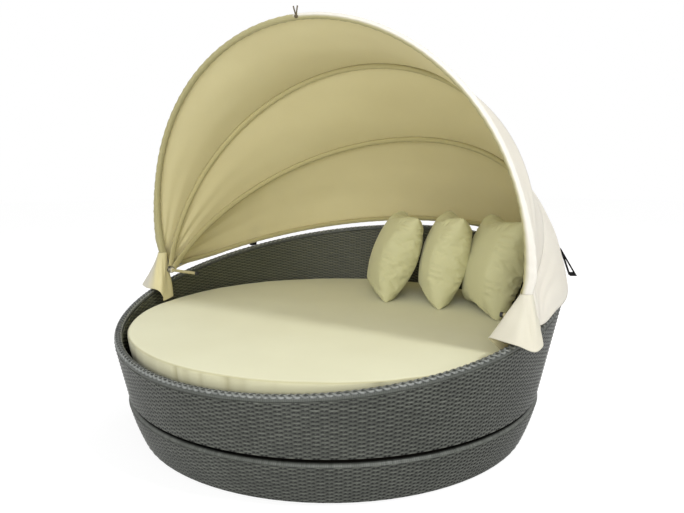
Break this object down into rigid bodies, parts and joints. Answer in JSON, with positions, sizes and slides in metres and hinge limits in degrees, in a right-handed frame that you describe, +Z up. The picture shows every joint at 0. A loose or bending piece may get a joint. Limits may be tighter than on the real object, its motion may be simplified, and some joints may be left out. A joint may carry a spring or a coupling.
{
  "type": "outdoor daybed with canopy",
  "caption": "Round woven daybed on a low drum base, with a deep mattress, throw pillows and a folding cloth canopy on hinged bows.",
  "frame": {"origin": "on the floor under the swivel bolt, at the bottom face of the centre foot", "axes": "+Z up; the low open front of the wall faces -Y, its high back +Y; the canopy turns about a line along X"},
  "size_m": [1.8002, 1.7464, 1.539],
  "materials": {
    "wicker": "flat woven resin strands, weathered grey",
    "braid": "braided resin strands, silver grey",
    "frame": "dark powder coat",
    "bow_tube": "satin",
    "plate_steel": "black, semi matt",
    "bolt_steel": "dark, oiled",
    "nylon": "natural",
    "grip_plastic": "cream",
    "black_plastic": "fine grain",
    "deck_board": "sealed ply",
    "mattress_cloth": "cream woven cloth",
    "pillow_cloth": "pale yellow cream cloth",
    "canopy_cloth": "ivory outside, khaki in its own shade",
    "webbing": "flat black webbing and cord"
  },
  "bodies": {
    "base": {"base_frame": "frame", "base_weave": "wicker", "foot_1": "black_plastic", "foot_2": "black_plastic", "foot_3": "black_plastic", "foot_4": "black_plastic", "foot_5": "black_plastic", "foot_6": "black_plastic", "centre_foot": "black_plastic", "swivel_lower_plate": "plate_steel", "swivel_race": "bolt_steel"},
    "seat": {"wall_outer_weave": "wicker", "wall_inner_weave": "wicker", "rim_braid": "braid", "seat_frame": "frame", "rear_rail": "bow_tube", "swivel_upper_plate": "plate_steel", "pivot_bracket_left": "plate_steel", "pivot_bracket_right": "plate_steel", "swivel_bolt": "bolt_steel", "pivot_bolt_left": "bolt_steel", "pivot_bolt_right": "bolt_steel", "pivot_nut_left": "bolt_steel", "pivot_nut_right": "bolt_steel", "outer_bush_left": "nylon", "outer_bush_right": "nylon", "middle_bush_left": "nylon", "middle_bush_right": "nylon", "inner_washer_left": "nylon", "inner_washer_right": "nylon", "pivot_grip_left": "grip_plastic", "pivot_grip_right": "grip_plastic", "pivot_cap_left": "black_plastic", "pivot_cap_right": "black_plastic", "seat_deck": "deck_board", "mattress": "mattress_cloth", "pillow_1": "pillow_cloth", "pillow_2": "pillow_cloth", "pillow_3": "pillow_cloth", "cuff_left": "canopy_cloth", "cuff_right": "canopy_cloth", "strap_left": "webbing", "strap_right": "webbing"},
    "third_bow": {"third_bow": "bow_tube", "rear_panel": "canopy_cloth"},
    "second_bow": {"second_bow": "bow_tube", "middle_panel": "canopy_cloth"},
    "front_bow": {"front_bow": "bow_tube", "front_panel": "canopy_cloth", "canopy_tie": "webbing"}
  },
  "joints": [
    {"name": "swivel", "type": "hinge", "parent": "base", "child": "seat", "pos_m": [0, 0, 0.16], "axis": [0, 0, 1], "continuous": true},
    {"name": "third_bow_fold", "type": "hinge", "parent": "seat", "child": "third_bow", "pos_m": [0, -0.141, 0.525], "axis": [-1, 0, 0], "range_deg": [0, 21], "deforming": ["rear_panel", "cuff_left", "cuff_right"]},
    {"name": "second_bow_fold", "type": "hinge", "parent": "third_bow", "child": "second_bow", "pos_m": [0, -0.141, 0.525], "axis": [-1, 0, 0], "range_deg": [0, 23.7], "deforming": ["middle_panel"]},
    {"name": "front_bow_fold", "type": "hinge", "parent": "second_bow", "child": "front_bow", "pos_m": [0, -0.141, 0.525], "axis": [-1, 0, 0], "range_deg": [0, 23.1], "deforming": ["front_panel"]}
  ],
  "couplings": [
    {"joint": "second_bow_fold", "follows": "third_bow_fold", "ratio": 1.1286},
    {"joint": "front_bow_fold", "follows": "third_bow_fold", "ratio": 1.1}
  ]
}
